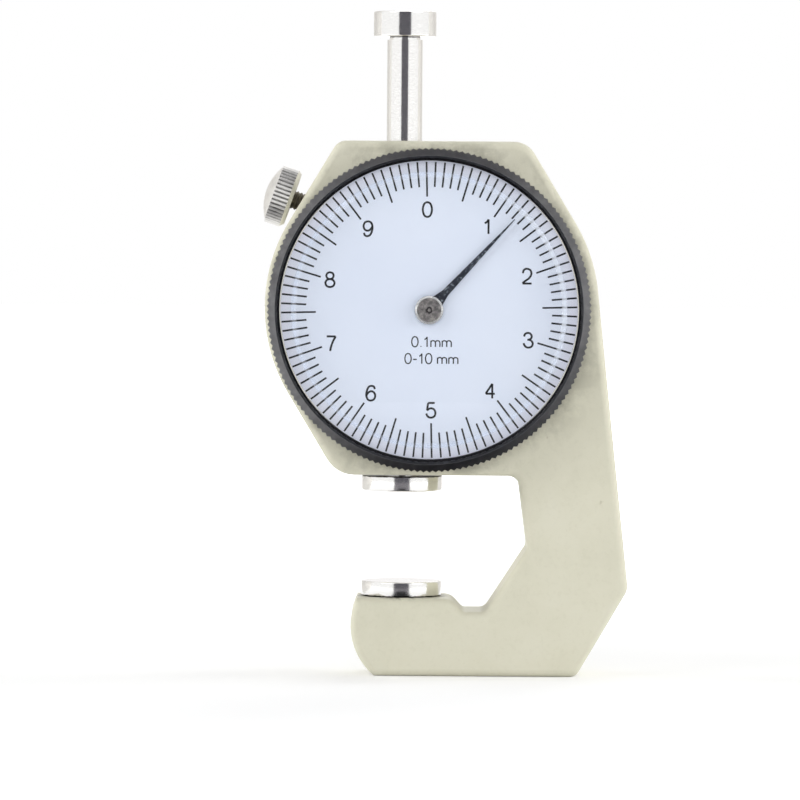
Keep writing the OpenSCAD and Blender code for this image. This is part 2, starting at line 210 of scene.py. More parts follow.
def between(tree, value, low, high, to_low=0.0, to_high=1.0):
    """A value brought from low..high to to_low..to_high, held outside."""
    node = tree.nodes.new("ShaderNodeMapRange")
    node.inputs["From Min"].default_value = low
    node.inputs["From Max"].default_value = high
    node.inputs["To Min"].default_value = to_low
    node.inputs["To Max"].default_value = to_high
    tree.links.new(value, node.inputs["Value"])
    return node.outputs["Result"]


def part_of(tree, vector, axis):
    """One of the X, Y and Z values of a vector."""
    node = tree.nodes.new("ShaderNodeSeparateXYZ")
    tree.links.new(vector, node.inputs["Vector"])
    return node.outputs[axis]


def maths(tree, operation, a, b):
    """Two sockets or numbers joined by a calculation."""
    node = tree.nodes.new("ShaderNodeMath")
    node.operation = operation
    for slot, value in zip(node.inputs, (a, b)):
        if isinstance(value, bpy.types.NodeSocket):
            tree.links.new(value, slot)
        else:
            slot.default_value = value
    return node.outputs["Value"]


def band(tree, value, low, high, soft):
    """One where a value lies between two limits, with soft ends inside them."""
    rising = between(tree, value, low, low + soft)
    falling = between(tree, value, high, high - soft)
    return maths(tree, "MULTIPLY", rising, falling)


def add_bump(tree, shader, height, strength, depth):
    """Bump of a real depth in metres."""
    node = tree.nodes.new("ShaderNodeBump")
    node.inputs["Strength"].default_value = strength
    node.inputs["Distance"].default_value = depth
    tree.links.new(height, node.inputs["Height"])
    tree.links.new(node.outputs["Normal"], shader.inputs["Normal"])


# Finishes

def paint_finish():
    """Cream paint on a casting: mottled, with specks, painted shade in dark patches round the foot of the bezel
    and painted shade in the crease under the anvil.
    """
    made, tree, shader, coords = new_material("cream_paint")
    cloud = noise(tree, coords, 90, 6, 0.7)
    tone = ramp(tree, cloud, (0.30, (0.655, 0.640, 0.512)), (0.52, (0.695, 0.678, 0.548)),
                (0.75, (0.722, 0.705, 0.582)))
    grit = ramp(tree, noise(tree, coords, 1900, 3, 0.6), (0.34, (0.80, 0.79, 0.75)), (0.46, (1, 1, 1)))
    specks = ramp(tree, noise(tree, coords, 620, 2, 0.5), (0.21, (0.55, 0.52, 0.44)), (0.26, (1, 1, 1)))
    toned = mix(tree, 0.13, tone, grit, "MULTIPLY")
    toned = mix(tree, 0.5, toned, specks, "MULTIPLY")
    # Painted shade: dark patches on the front face round the foot of the bezel, where its shade falls.
    bezel_shade = maths(tree, "MULTIPLY",
                   between(tree, dial_radius(tree, coords), BEZEL_R + BEZEL_SHADE_REACH, BEZEL_R - 0.2 * MM),
                   between(tree, part_of(tree, coords, "Y"), FRAME_FRONT + 0.9 * MM, FRAME_FRONT + 0.2 * MM))
    patches = between(tree, noise(tree, coords, 240, 5, 0.7), 0.43, 0.62, 0.0, 0.7)
    toned = mix(tree, maths(tree, "MULTIPLY", bezel_shade, patches), toned, (0.40, 0.39, 0.31))
    # Painted shade: dark blots on the arm in the crease under the anvil disc.
    level = part_of(tree, coords, "Z")
    height = maths(tree, "MULTIPLY", between(tree, level, ARM_TOP - ANVIL_SHADE_FALL, ARM_TOP - 0.05 * MM),
                   between(tree, level, ARM_TOP + 2 * MM, ARM_TOP + 1 * MM))
    near = between(tree, axis_radius(tree, coords), DISC_R + ANVIL_SHADE_REACH, DISC_R + 0.1 * MM)
    blots = between(tree, noise(tree, coords, 1100, 4, 0.7), 0.42, 0.60)
    anvil_shade = maths(tree, "MULTIPLY", maths(tree, "MULTIPLY", height, near), blots)
    tree.links.new(mix(tree, anvil_shade, toned, (0.085, 0.070, 0.050)), shader.inputs["Base Color"])
    tree.links.new(spread(tree, cloud, 0.36, 0.52), shader.inputs["Roughness"])
    add_bump(tree, shader, noise(tree, coords, 1500, 4, 0.55), 0.25, 0.06 * MM)
    shader.inputs["Specular IOR Level"].default_value = 0.3
    return made


def steel_finish(name, colour, low, high, stretch):
    """Bright steel with fine lines left by the lathe, across the stretched axis."""
    made, tree, shader, coords = new_material(name)
    lines = noise(tree, coords, 2200, 3, 0.6, stretch)
    dark = tuple(0.92 * c for c in colour)
    tree.links.new(ramp(tree, lines, (0.3, dark), (0.7, colour)), shader.inputs["Base Color"])
    tree.links.new(spread(tree, lines, low, high), shader.inputs["Roughness"])
    add_bump(tree, shader, lines, 0.12, 0.01 * MM)
    shader.inputs["Metallic"].default_value = 1.0
    return made


def knurled_finish():
    """Steel of the lock knob, with painted shade at the bottom of the knurl."""
    made, tree, shader, coords = new_material("knurled_steel")
    points = [v.co - SCREW_POINT for v in nodes["lock_knob"].data.vertices]
    crest = max(point.cross(SCREW_AXIS).length for point in points)
    knurl = [point.dot(SCREW_AXIS) for point in points if point.cross(SCREW_AXIS).length > crest - 0.02 * MM]
    offset = vector_maths(tree, "SUBTRACT", coords, SCREW_POINT).outputs["Vector"]
    radius = length_of(tree, vector_maths(tree, "CROSS_PRODUCT", offset, SCREW_AXIS).outputs["Vector"])
    place = vector_maths(tree, "DOT_PRODUCT", offset, SCREW_AXIS).outputs["Value"]
    inside = band(tree, place, min(knurl) - 0.02 * MM, max(knurl) + 0.02 * MM, 0.04 * MM)
    # Painted shade: the bottoms of the knurl's grooves darkened.
    groove_shade = maths(tree, "MULTIPLY", inside,
                    between(tree, radius, crest - 0.20 * MM, crest - 0.09 * MM, 0.95, 0.0))
    groove_shade = maths(tree, "MULTIPLY", groove_shade, spread(tree, noise(tree, coords, 1100, 2, 0.5), 0.45, 1.0))
    wear = noise(tree, coords, 700, 3, 0.6)
    bright = ramp(tree, wear, (0.3, (0.84, 0.83, 0.81)), (0.7, (0.95, 0.94, 0.92)))
    tree.links.new(mix(tree, groove_shade, bright, (0.10, 0.095, 0.09)), shader.inputs["Base Color"])
    tree.links.new(spread(tree, wear, 0.36, 0.46), shader.inputs["Roughness"])
    shader.inputs["Metallic"].default_value = 1.0
    return made


def seated_finish(name, seat, reach, face_tone):
    """Bright steel with flat faces of another tone, with painted shade as a ragged dark band within reach of the
    height of its seat, where it meets the next part.
    """
    made, tree, shader, coords = new_material(name)
    lines = noise(tree, coords, 2200, 3, 0.6, (1, 1, 9))
    bright = ramp(tree, lines, (0.3, (0.87, 0.86, 0.84)), (0.7, (0.94, 0.935, 0.92)))
    normal = tree.nodes["Texture Coordinate"].outputs["Normal"]
    flat = maths(tree, "MULTIPLY", part_of(tree, normal, "Z"), part_of(tree, normal, "Z"))
    toned = mix(tree, between(tree, flat, 0.90, 0.99), bright, face_tone)
    # Painted shade: a ragged dark band near the height of the seat.
    off = maths(tree, "ABSOLUTE", maths(tree, "SUBTRACT", part_of(tree, coords, "Z"), seat), 0.0)
    ragged = maths(tree, "MULTIPLY", noise(tree, coords, 1500, 4, 0.7), 2 * reach)
    seat_shade = between(tree, maths(tree, "SUBTRACT", ragged, off), 0.0, 0.4 * reach)
    tree.links.new(mix(tree, seat_shade, toned, (0.045, 0.040, 0.034)), shader.inputs["Base Color"])
    tree.links.new(spread(tree, lines, 0.09, 0.19), shader.inputs["Roughness"])
    add_bump(tree, shader, lines, 0.12, 0.01 * MM)
    shader.inputs["Metallic"].default_value = 1.0
    return made


def anodised_finish():
    """Anodised bezel: a turned front ring worn grey, with painted shade darkening it towards one side, dark knurl,
    black inside its lip.
    """
    made, tree, shader, coords = new_material("black_anodised")
    grain = noise(tree, coords, 900, 5, 0.65)
    grey = ramp(tree, grain, (0.35, (0.070, 0.070, 0.071)), (0.62, (0.105, 0.105, 0.106)),
                (0.80, (0.16, 0.16, 0.16)))
    black = ramp(tree, grain, (0.3, (0.006, 0.006, 0.008)), (0.7, (0.011, 0.011, 0.014)))
    worn = ramp(tree, grain, (0.35, (0.27, 0.27, 0.275)), (0.62, (0.325, 0.325, 0.33)),
                (0.80, (0.42, 0.42, 0.42)))
    shaded_ring = ramp(tree, grain, (0.35, (0.070, 0.070, 0.073)), (0.62, (0.085, 0.085, 0.089)),
                 (0.80, (0.11, 0.11, 0.112)))
    # Painted shade: the turned front ring darker towards its lower side.
    metal = mix(tree, between(tree, dial_side(tree, coords, SHADED_SIDE), 0.4 * LIP_R, LIP_R), worn, shaded_ring)
    outer = between(tree, dial_radius(tree, coords), LIP_R - 0.06 * MM, LIP_R + 0.02 * MM)
    front = between(tree, part_of(tree, coords, "Y"), BEZEL_FRONT + 0.10 * MM, BEZEL_FRONT + 0.04 * MM)
    face = maths(tree, "MULTIPLY", outer, front)
    tree.links.new(mix(tree, face, mix(tree, outer, black, grey), metal), shader.inputs["Base Color"])
    tree.links.new(face, shader.inputs["Metallic"])
    tree.links.new(spread(tree, grain, 0.34, 0.46), shader.inputs["Roughness"])
    around = tree.nodes.new("ShaderNodeTangent")
    around.direction_type = "RADIAL"
    around.axis = "Y"
    tree.links.new(around.outputs["Tangent"], shader.inputs["Tangent"])
    shader.inputs["Anisotropic"].default_value = 0.8
    shader.inputs["Anisotropic Rotation"].default_value = 0.25
    add_bump(tree, shader, noise(tree, coords, 3000, 2, 0.5), 0.15, 0.02 * MM)
    shader.inputs["Specular IOR Level"].default_value = 0.25
    return made


def dial_finish():
    """White dial lacquer, a little blue, with a faint cloudiness and painted light that makes its rim whiter."""
    made, tree, shader, coords = new_material("dial_lacquer")
    cloud = noise(tree, coords, 60, 3, 0.5)
    middle = ramp(tree, cloud, (0.3, (0.765, 0.824, 0.955)), (0.7, (0.810, 0.865, 0.980)))
    rim = ramp(tree, cloud, (0.3, (0.835, 0.860, 0.990)), (0.7, (0.870, 0.890, 1.0)))
    # Painted light: the dial lighter towards its rim, against the shade of the bezel.
    rim_light = between(tree, dial_radius(tree, coords), *DIAL_RIM_LIGHT)
    tree.links.new(mix(tree, rim_light, middle, rim), shader.inputs["Base Color"])
    tree.links.new(spread(tree, noise(tree, coords, 900), 0.42, 0.55), shader.inputs["Roughness"])
    return made


def ink_finish(name, colour):
    """Printing ink, a little uneven."""
    made, tree, shader, coords = new_material(name)
    patch = noise(tree, coords, 2500, 3, 0.6)
    pale = tuple(min(1.0, 1.9 * c + 0.012) for c in colour)
    tree.links.new(ramp(tree, patch, (0.4, colour), (0.75, pale)), shader.inputs["Base Color"])
    tree.links.new(spread(tree, patch, 0.45, 0.6), shader.inputs["Roughness"])
    return made


def pointer_finish():
    """Blue-black lacquer of the hand, worn to small bright flecks."""
    made, tree, shader, coords = new_material("pointer_lacquer")
    patch = noise(tree, coords, 900, 3, 0.6)
    coat = ramp(tree, patch, (0.3, (0.004, 0.006, 0.013)), (0.7, (0.009, 0.013, 0.026)))
    flecks = ramp(tree, noise(tree, coords, 4300, 2, 0.7), (0.56, (0, 0, 0)), (0.66, (0.30, 0.34, 0.38)))
    tree.links.new(mix(tree, 1.0, coat, flecks, "ADD"), shader.inputs["Base Color"])
    tree.links.new(spread(tree, patch, 0.30, 0.42), shader.inputs["Roughness"])
    return made


def hub_finish():
    """Turned hub of the hand: a dull stained face with a bright bevelled rim."""
    made, tree, shader, coords = new_material("hub_steel")
    swirl = noise(tree, coords, 1300, 5, 0.7)
    face = ramp(tree, swirl, (0.34, (0.13, 0.12, 0.12)), (0.50, (0.30, 0.28, 0.27)),
                (0.66, (0.62, 0.57, 0.52)))
    radius = dial_radius(tree, coords)
    rim = between(tree, radius, HUB_FACE_R - 0.05 * MM, HUB_FACE_R + 0.05 * MM)
    curl = maths(tree, "ADD", radius, maths(tree, "MULTIPLY", swirl, 0.5 * MM))
    face = mix(tree, band(tree, curl, 0.40 * MM, 0.74 * MM, 0.12 * MM), face, (0.05, 0.045, 0.045))
    tree.links.new(mix(tree, rim, face, (0.86, 0.84, 0.80)), shader.inputs["Base Color"])
    tree.links.new(between(tree, radius, HUB_FACE_R - 0.1 * MM, HUB_FACE_R + 0.1 * MM, 0.42, 0.22),
                   shader.inputs["Roughness"])
    add_bump(tree, shader, swirl, 0.3, 0.04 * MM)
    shader.inputs["Metallic"].default_value = 0.8
    return made


def brass_finish():
    """Turned brass of bushes and wheels."""
    made, tree, shader, coords = new_material("turned_brass")
    lines = noise(tree, coords, 1500, 3, 0.6, (1, 1, 6))
    tree.links.new(ramp(tree, lines, (0.3, (0.56, 0.38, 0.13)), (0.7, (0.68, 0.48, 0.19))),
                   shader.inputs["Base Color"])
    tree.links.new(spread(tree, lines, 0.22, 0.36), shader.inputs["Roughness"])
    shader.inputs["Metallic"].default_value = 1.0
    return made


def cover_finish():
    """Satin aluminium plate with circular brushing about the dial axis."""
    made, tree, shader, coords = new_material("satin_cover")
    rings = tree.nodes.new("ShaderNodeTexNoise")
    rings.noise_dimensions = "1D"
    rings.inputs["Scale"].default_value = 9000
    rings.inputs["Detail"].default_value = 3
    tree.links.new(dial_radius(tree, coords), rings.inputs["W"])
    cloud = noise(tree, coords, 120)
    tone = ramp(tree, rings.outputs["Fac"], (0.3, (0.50, 0.50, 0.51)), (0.7, (0.62, 0.62, 0.63)))
    tree.links.new(mix(tree, 0.2, tone, ramp(tree, cloud, (0.3, (0.7, 0.7, 0.7)), (0.7, (1, 1, 1))),
                       "MULTIPLY"), shader.inputs["Base Color"])
    tree.links.new(spread(tree, rings.outputs["Fac"], 0.30, 0.42), shader.inputs["Roughness"])
    add_bump(tree, shader, rings.outputs["Fac"], 0.1, 0.01 * MM)
    shader.inputs["Metallic"].default_value = 1.0
    return made


def crystal_finish():
    """Clear window with a hazy shoulder that carries a painted highlight, strongest towards the right, and a
    painted reflection as a pale line on its edge at left and right; it lets the lamps' light through to the dial.
    """
    made, tree, shader, coords = new_material("clear_window")
    shader.inputs["IOR"].default_value = 1.46
    radius = dial_radius(tree, coords)
    shoulder = band(tree, radius, SHOULDER_IN, SHOULDER_OUT, 0.1 * MM)
    # Painted reflection: a pale cream line on the window's edge towards the left and right.
    rim = band(tree, radius, WINDOW_R - 0.12 * MM, WINDOW_R + 0.04 * MM, 0.04 * MM)
    sideways = maths(tree, "ABSOLUTE", dial_side(tree, coords, RIGHT_SIDE), 0.0)
    edge = maths(tree, "MULTIPLY", rim, between(tree, sideways, 0.60 * WINDOW_R, 0.85 * WINDOW_R))
    # The shoulder's bluish-white tint shows through its haze as part of the painted highlight.
    tint = mix(tree, shoulder, (0.97, 0.985, 1.0), (0.86, 0.91, 1.0))
    tree.links.new(mix(tree, edge, tint, (0.96, 0.93, 0.84)), shader.inputs["Base Color"])
    tree.links.new(maths(tree, "MAXIMUM", maths(tree, "MULTIPLY", shoulder, 0.09),
                         maths(tree, "MULTIPLY", edge, 0.3)), shader.inputs["Roughness"])
    # Painted highlight: more whitish haze on the shoulder towards the right.
    shoulder_highlight = between(tree, dial_side(tree, coords, HIGHLIGHT_SIDE), 0.5 * WINDOW_R, 0.85 * WINDOW_R,
                      0.12, 0.38)
    haze_and_highlight = maths(tree, "MAXIMUM", maths(tree, "MULTIPLY", shoulder, shoulder_highlight),
                 maths(tree, "MULTIPLY", edge, 0.5))
    tree.links.new(maths(tree, "SUBTRACT", 1.0, haze_and_highlight), shader.inputs["Transmission Weight"])
    clear = tree.nodes.new("ShaderNodeBsdfTransparent")
    path = tree.nodes.new("ShaderNodeLightPath").outputs
    both = tree.nodes.new("ShaderNodeMixShader")
    tree.links.new(maths(tree, "MAXIMUM", path["Is Shadow Ray"], path["Is Diffuse Ray"]), both.inputs["Fac"])
    tree.links.new(shader.outputs["BSDF"], both.inputs[1])
    tree.links.new(clear.outputs["BSDF"], both.inputs[2])
    tree.links.new(both.outputs["Shader"], tree.nodes["Material Output"].inputs["Surface"])
    return made


FINISHES = {
    "frame_paint": paint_finish(),
    "steel": steel_finish("bright_steel", (0.94, 0.935, 0.92), 0.08, 0.17, (1, 1, 9)),
    "bezel_black": anodised_finish(),
    "dial_white": dial_finish(),
    "crystal": crystal_finish(),
    "pointer_black": pointer_finish(),
    "brass": brass_finish(),
    "spring_steel": steel_finish("spring_wire", (0.50, 0.50, 0.53), 0.25, 0.40, (3, 3, 3)),
    "stud_dark": steel_finish("blackened_thread", (0.24, 0.22, 0.19), 0.28, 0.42, (4, 4, 4)),
    "cover": cover_finish(),
}
HUB = hub_finish()
KNURLED = knurled_finish()
# Each seat's dark band is painted shade: under the press cap, where the anvil enters the arm, and at the top of
# the contact face under the case.
ROD = seated_finish("rod_steel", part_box("plunger_cap")[0].z, 0.14 * MM, (0.90, 0.89, 0.87))
ANVIL = seated_finish("anvil_steel", ARM_TOP, 0.22 * MM, (0.80, 0.76, 0.73))
CONTACT = seated_finish("contact_steel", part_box("contact_disc")[0].z + CONTACT_T, 0.14 * MM,
                        (0.80, 0.76, 0.73))
INK = ink_finish("dial_ink", (0.006, 0.0065, 0.009))
UNIT_INK = ink_finish("unit_ink", (0.012, 0.013, 0.018))

for part in frame["record"]["subparts"]:
    node = nodes[part["node"]]
    node.data.materials.clear()
    node.data.materials.append(FINISHES[part["material_slot"]])
nodes["pointer_boss"].data.materials[0] = HUB
nodes["lock_knob"].data.materials[0] = KNURLED
nodes["plunger_rod"].data.materials[0] = ROD


# Mesh helpers

def add_piece(name, mesh, material, body):
    """A finished mesh as a piece of the object that rides on a body."""
    piece = bpy.data.objects.new(name, mesh)
    bpy.context.scene.collection.objects.link(piece)
    mesh.materials.clear()
    mesh.materials.append(material)
    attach(piece, body)
    return piece


def shade(mesh, angle):
    """Smooth shading with edges sharper than an angle left sharp."""
    mesh.shade_smooth()
    mesh.set_sharp_from_angle(angle=math.radians(angle))


def even_normals(piece):
    """Shading led by the large faces, so that walls stay flat beside rounded edges."""
    piece.modifiers.new("even_normals", "WEIGHTED_NORMAL").keep_sharp = True


def tube(centres, sides, radius_at, name):
    """A closed tube along points, each with its (centre, across, up) and a radius for each side."""
    bm = bmesh.new()
    rings = []
    for i, (centre, across, up) in enumerate(centres):
        ring = []
        for k in range(sides):
            a = 2 * math.pi * k / sides
            ring.append(bm.verts.new(centre + radius_at(i, k) * (math.cos(a) * across + math.sin(a) * up)))
        rings.append(ring)
    for low, high in zip(rings, rings[1:]):
        for k in range(sides):
            bm.faces.new((low[k], low[(k + 1) % sides], high[(k + 1) % sides], high[k]))
    bm.faces.new(list(reversed(rings[0])))
    bm.faces.new(rings[-1])
    bmesh.ops.recalc_face_normals(bm, faces=bm.faces)
    mesh = bpy.data.meshes.new(name)
    bm.to_mesh(mesh)
    bm.free()
    return mesh


# Frame: the casting's sharp outline gets its rounded edge

EDGE_R = 1.0 * MM
EDGE_STEPS = 5
WELD_GAP = 0.0002 * MM
FLAT_TURN = 0.3
OUTLINE_R = 19.2 * MM
FACE_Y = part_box("frame")[1].y


def rounded_casting():
    """The CAD frame with the outline of its front and back faces rounded."""
    bm = bmesh.new()
    bm.from_mesh(nodes["frame"].data)
    bmesh.ops.remove_doubles(bm, verts=bm.verts, dist=WELD_GAP)
    bmesh.ops.dissolve_limit(bm, angle_limit=math.radians(FLAT_TURN), verts=bm.verts, edges=bm.edges)
    outline = []
    for edge in bm.edges:
        if len(edge.link_faces) != 2:
            continue
        slopes = sorted(abs(face.normal.y) for face in edge.link_faces)
        on_face = all(abs(abs(v.co.y) - FACE_Y) < 1e-6 for v in edge.verts)
        middle = (edge.verts[0].co + edge.verts[1].co) / 2 - DIAL_AXIS
        if on_face and slopes[0] < 0.1 and slopes[1] > 0.99 and math.hypot(middle.x, middle.z) > OUTLINE_R:
            outline.append(edge)
    bmesh.ops.bevel(bm, geom=outline, offset=EDGE_R, offset_type="OFFSET", segments=EDGE_STEPS, profile=0.5,
                    affect="EDGES", clamp_overlap=True, loop_slide=True)
    bmesh.ops.triangulate(bm, faces=[f for f in bm.faces if len(f.verts) > 4])
    mesh = bpy.data.meshes.new("frame_casting")
    bm.to_mesh(mesh)
    bm.free()
    shade(mesh, 32)
    return mesh


casting = add_piece("frame_casting", rounded_casting(), FINISHES["frame_paint"], "body")
even_normals(casting)
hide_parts("frame")


# Printed dial, turned a little as in the photo

DIAL_TURN = 1.4
PRINT_T = 0.012 * MM
DIVISIONS = 100
TICK_W = 0.22 * MM
TICK_OUT = 18.3 * MM
LONG_EVERY = 5
LONG_TICK_IN = 14.0 * MM
SHORT_TICK_IN = 15.2 * MM
DIGITS = 10
DIGIT_R = 12.4 * MM
DIGIT_SIDE = 0.45 * MM
DIGIT_H = 2.06 * MM
DIGIT_STROKE = 0.25 * MM
UNIT_H = 1.40 * MM
UNIT_STROKE = 0.155 * MM
UNIT_X = 0.33 * MM
UNIT_LINES = {"0.1mm": -3.94 * MM, "0-10 mm": -6.02 * MM}
CURVE_STEPS = 5

# Each sign as strokes in a box of one unit; a stroke is (closed, its points)
SIGNS = {
    "0": [(True, [(0, .5), (.3, .42), (.46, .2), (.5, 0), (.46, -.2), (.3, -.42), (0, -.5),
                  (-.3, -.42), (-.46, -.2), (-.5, 0), (-.46, .2), (-.3, .42)])],
    "1": [(False, [(.12, .5), (.12, -.5)]), (False, [(.12, .5), (.02, .38), (-.13, .29), (-.3, .23)])],
    "2": [(False, [(-.47, .2), (-.4, .38), (-.2, .49), (.05, .5), (.33, .42), (.46, .24), (.4, .03),
                   (.18, -.16), (-.14, -.3), (-.38, -.41), (-.5, -.5)]), (False, [(-.5, -.5), (.5, -.5)])],
    "3": [(False, [(-.46, .25), (-.36, .42), (-.1, .5), (.2, .46), (.38, .29), (.3, .12), (.08, .04),
                   (-.1, .04)]),
          (False, [(.08, .04), (.34, -.04), (.5, -.22), (.38, -.42), (.08, -.5), (-.22, -.47),
                   (-.42, -.34), (-.5, -.2)])],
    "4": [(False, [(.22, .5), (-.5, -.18)]), (False, [(-.5, -.18), (.5, -.18)]),
          (False, [(.22, .5), (.22, -.5)])],
    "5": [(False, [(.42, .5), (-.3, .5)]), (False, [(-.3, .5), (-.42, -.02)]),
          (False, [(-.42, -.02), (-.2, .1), (.1, .13), (.38, .03), (.5, -.18), (.4, -.4), (.1, -.5),
                   (-.2, -.48), (-.4, -.38), (-.5, -.22)])],
    "6": [(False, [(.44, .28), (.32, .45), (.05, .5), (-.24, .42), (-.43, .18), (-.5, -.1), (-.43, -.33),
                   (-.24, -.47), (.05, -.5), (.34, -.42), (.48, -.2), (.38, .02), (.1, .13), (-.2, .08),
                   (-.42, -.08), (-.49, -.2)])],
    "7": [(False, [(-.5, .5), (.5, .5)]), (False, [(.5, .5), (.2, .15), (0, -.2), (-.1, -.5)])],
    "8": [(True, [(0, .5), (.28, .44), (.4, .28), (.28, .1), (0, .04), (-.28, .1), (-.4, .28), (-.28, .44)]),
          (True, [(0, .04), (.34, -.03), (.5, -.22), (.36, -.43), (0, -.5), (-.36, -.43), (-.5, -.22),
                  (-.34, -.03)])],
    "m": [(False, [(-.72, .12), (-.72, -.5)]),
          (False, [(-.72, -.06), (-.6, .08), (-.36, .12), (-.1, .06), (0, -.1), (0, -.5)]),
          (False, [(0, -.06), (.12, .08), (.36, .12), (.62, .06), (.72, -.1), (.72, -.5)])],
    ".": [(False, [(0, -.42), (0, -.5)])],
    "-": [(False, [(-.3, -.08), (.3, -.08)])],
    " ": [],
}
SIGNS["9"] = [(closed, [(-x, -y) for x, y in points]) for closed, points in SIGNS["6"]]
SIGN_ASPECT = 0.62
ADVANCE = {"1": 0.60, ".": 0.34, "-": 0.48, "m": 1.0, " ": 0.31}
DIGIT_ADVANCE = 0.74

on_dial = (Matrix.Translation((DIAL_AXIS.x, DIAL_FRONT, DIAL_AXIS.z))
           @ Matrix.Rotation(math.radians(90), 4, "X"))


def dial_point(angle, radius):
    """A point on the dial, its angle in degrees clockwise from the dial's zero."""
    a = math.radians(angle - DIAL_TURN)
    return Vector((radius * math.sin(a), radius * math.cos(a), 0))


def smooth_path(points, closed):
    """Points on a smooth curve through the given ones."""
    if len(points) == 2:
        return points
    count = len(points)
    made = []
    for i in range(count if closed else count - 1):
        if closed:
            a, b, c, d = (points[(i + k) % count] for k in (-1, 0, 1, 2))
        else:
            b, c = points[i], points[i + 1]
            a = points[i - 1] if i else b * 2 - c
            d = points[i + 2] if i + 2 < count else c * 2 - b
        for k in range(CURVE_STEPS):
            t = k / CURVE_STEPS
            made.append(0.5 * (2 * b + (c - a) * t + (2 * a - 5 * b + 4 * c - d) * t ** 2
                               + (3 * b - a - 3 * c + d) * t ** 3))
    return made if closed else made + [points[-1]]


def add_stroke(bm, path, width, closed=False):
    """A raised line of ink along a path, as a closed solid."""
    count = len(path)
    sides = []
    for i, point in enumerate(path):
        before = path[i - 1] if i or closed else point
        after = path[(i + 1) % count] if i < count - 1 or closed else point
        along = (after - before).normalized()
        out = Vector((-along.y, along.x, 0)) * width / 2
        sides.append([bm.verts.new(point + side * out + Vector((0, 0, up)))
                      for side, up in ((1, 0), (1, PRINT_T), (-1, PRINT_T), (-1, 0))])
    for i in range(count if closed else count - 1):
        a, b = sides[i], sides[(i + 1) % count]
        for k in range(4):
            bm.faces.new((a[k], b[k], b[(k + 1) % 4], a[(k + 1) % 4]))
    if not closed:
        bm.faces.new(list(reversed(sides[0])))
        bm.faces.new(sides[-1])


def printed(name, draw):
    """A mesh of ink on the dial, drawn by a function in the dial's own plane."""
    bm = bmesh.new()
    draw(bm)
    bmesh.ops.recalc_face_normals(bm, faces=bm.faces)
    mesh = bpy.data.meshes.new(name)
    bm.to_mesh(mesh)
    bm.free()
    mesh.transform(on_dial)
    return mesh


def draw_ticks(bm):
    """All division marks, every fifth one longer."""
    for i in range(DIVISIONS):
        angle = 360 * i / DIVISIONS
        inner = SHORT_TICK_IN if i % LONG_EVERY else LONG_TICK_IN
        add_stroke(bm, [dial_point(angle, inner), dial_point(angle, TICK_OUT)], TICK_W)


def draw_sign(bm, sign, centre, height, stroke):
    """One sign, its ink reaching the full height."""
    tall = height - stroke
    for closed, points in SIGNS[sign]:
        placed = [centre + Vector((x * tall * SIGN_ASPECT, y * tall, 0)) for x, y in points]
        add_stroke(bm, smooth_path(placed, closed), stroke, closed)


def draw_digits(bm):
    """The ten numbers, upright, a little further out at the sides."""
    for i in range(DIGITS):
        angle = 360 * i / DIGITS
        sideways = math.sin(math.radians(angle)) ** 2
        draw_sign(bm, str(i), dial_point(angle, DIGIT_R + DIGIT_SIDE * sideways), DIGIT_H, DIGIT_STROKE)


def draw_units(bm):
    """The value of a division and the range, on two lines."""
    for text, height in UNIT_LINES.items():
        steps = [ADVANCE.get(sign, DIGIT_ADVANCE) * UNIT_H for sign in text]
        x = UNIT_X - sum(steps) / 2
        for sign, step in zip(text, steps):
            draw_sign(bm, sign, Vector((x + step / 2, height, 0)), UNIT_H, UNIT_STROKE)
            x += step


add_piece("dial_ticks", printed("dial_ticks", draw_ticks), INK, "rim")
add_piece("dial_digits", printed("dial_digits", draw_digits), INK, "rim")
add_piece("dial_units", printed("dial_units", draw_units), UNIT_INK, "rim")


# Turned steel pieces with rounded rims in the place of the CAD's chamfered ones

RIM_R = 0.22 * MM
RIM_STEPS = 4
LATHE_SIDES = 128


def turned(name, outline):
    """A piece turned about the measuring axis from (radius, height, rounding) corners, listed from
    its top centre outwards and down to its lower centre."""
    profile = []
    for i, (r, z, rounding) in enumerate(outline):
        p = Vector((r, z))
        if not rounding:
            profile.append(p)
            continue
        back = (Vector(outline[i - 1][:2]) - p).normalized() * rounding
        on = (Vector(outline[i + 1][:2]) - p).normalized() * rounding
        for k in range(RIM_STEPS + 1):
            a = math.pi / 2 * k / RIM_STEPS
            profile.append(p + back * (1 - math.sin(a)) + on * (1 - math.cos(a)))
    bm = bmesh.new()
    rings = []
    for r, z in profile:
        if r == 0:
            rings.append([bm.verts.new((0, 0, z))] * LATHE_SIDES)
        else:
            rings.append([bm.verts.new((r * math.cos(2 * math.pi * k / LATHE_SIDES),
                                        r * math.sin(2 * math.pi * k / LATHE_SIDES), z))
                          for k in range(LATHE_SIDES)])
    for high, low in zip(rings, rings[1:]):
        for k in range(LATHE_SIDES):
            ring = [high[k], low[k], low[(k + 1) % LATHE_SIDES], high[(k + 1) % LATHE_SIDES]]
            bm.faces.new(list(dict.fromkeys(ring)))
    bmesh.ops.recalc_face_normals(bm, faces=bm.faces)
    mesh = bpy.data.meshes.new(name)
    bm.to_mesh(mesh)
    bm.free()
    shade(mesh, 35)
    return mesh


def span(node):
    """Lowest height, highest height and largest radius of a CAD node on the measuring axis."""
    low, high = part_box(node)
    return low.z, high.z, (high.x - low.x) / 2


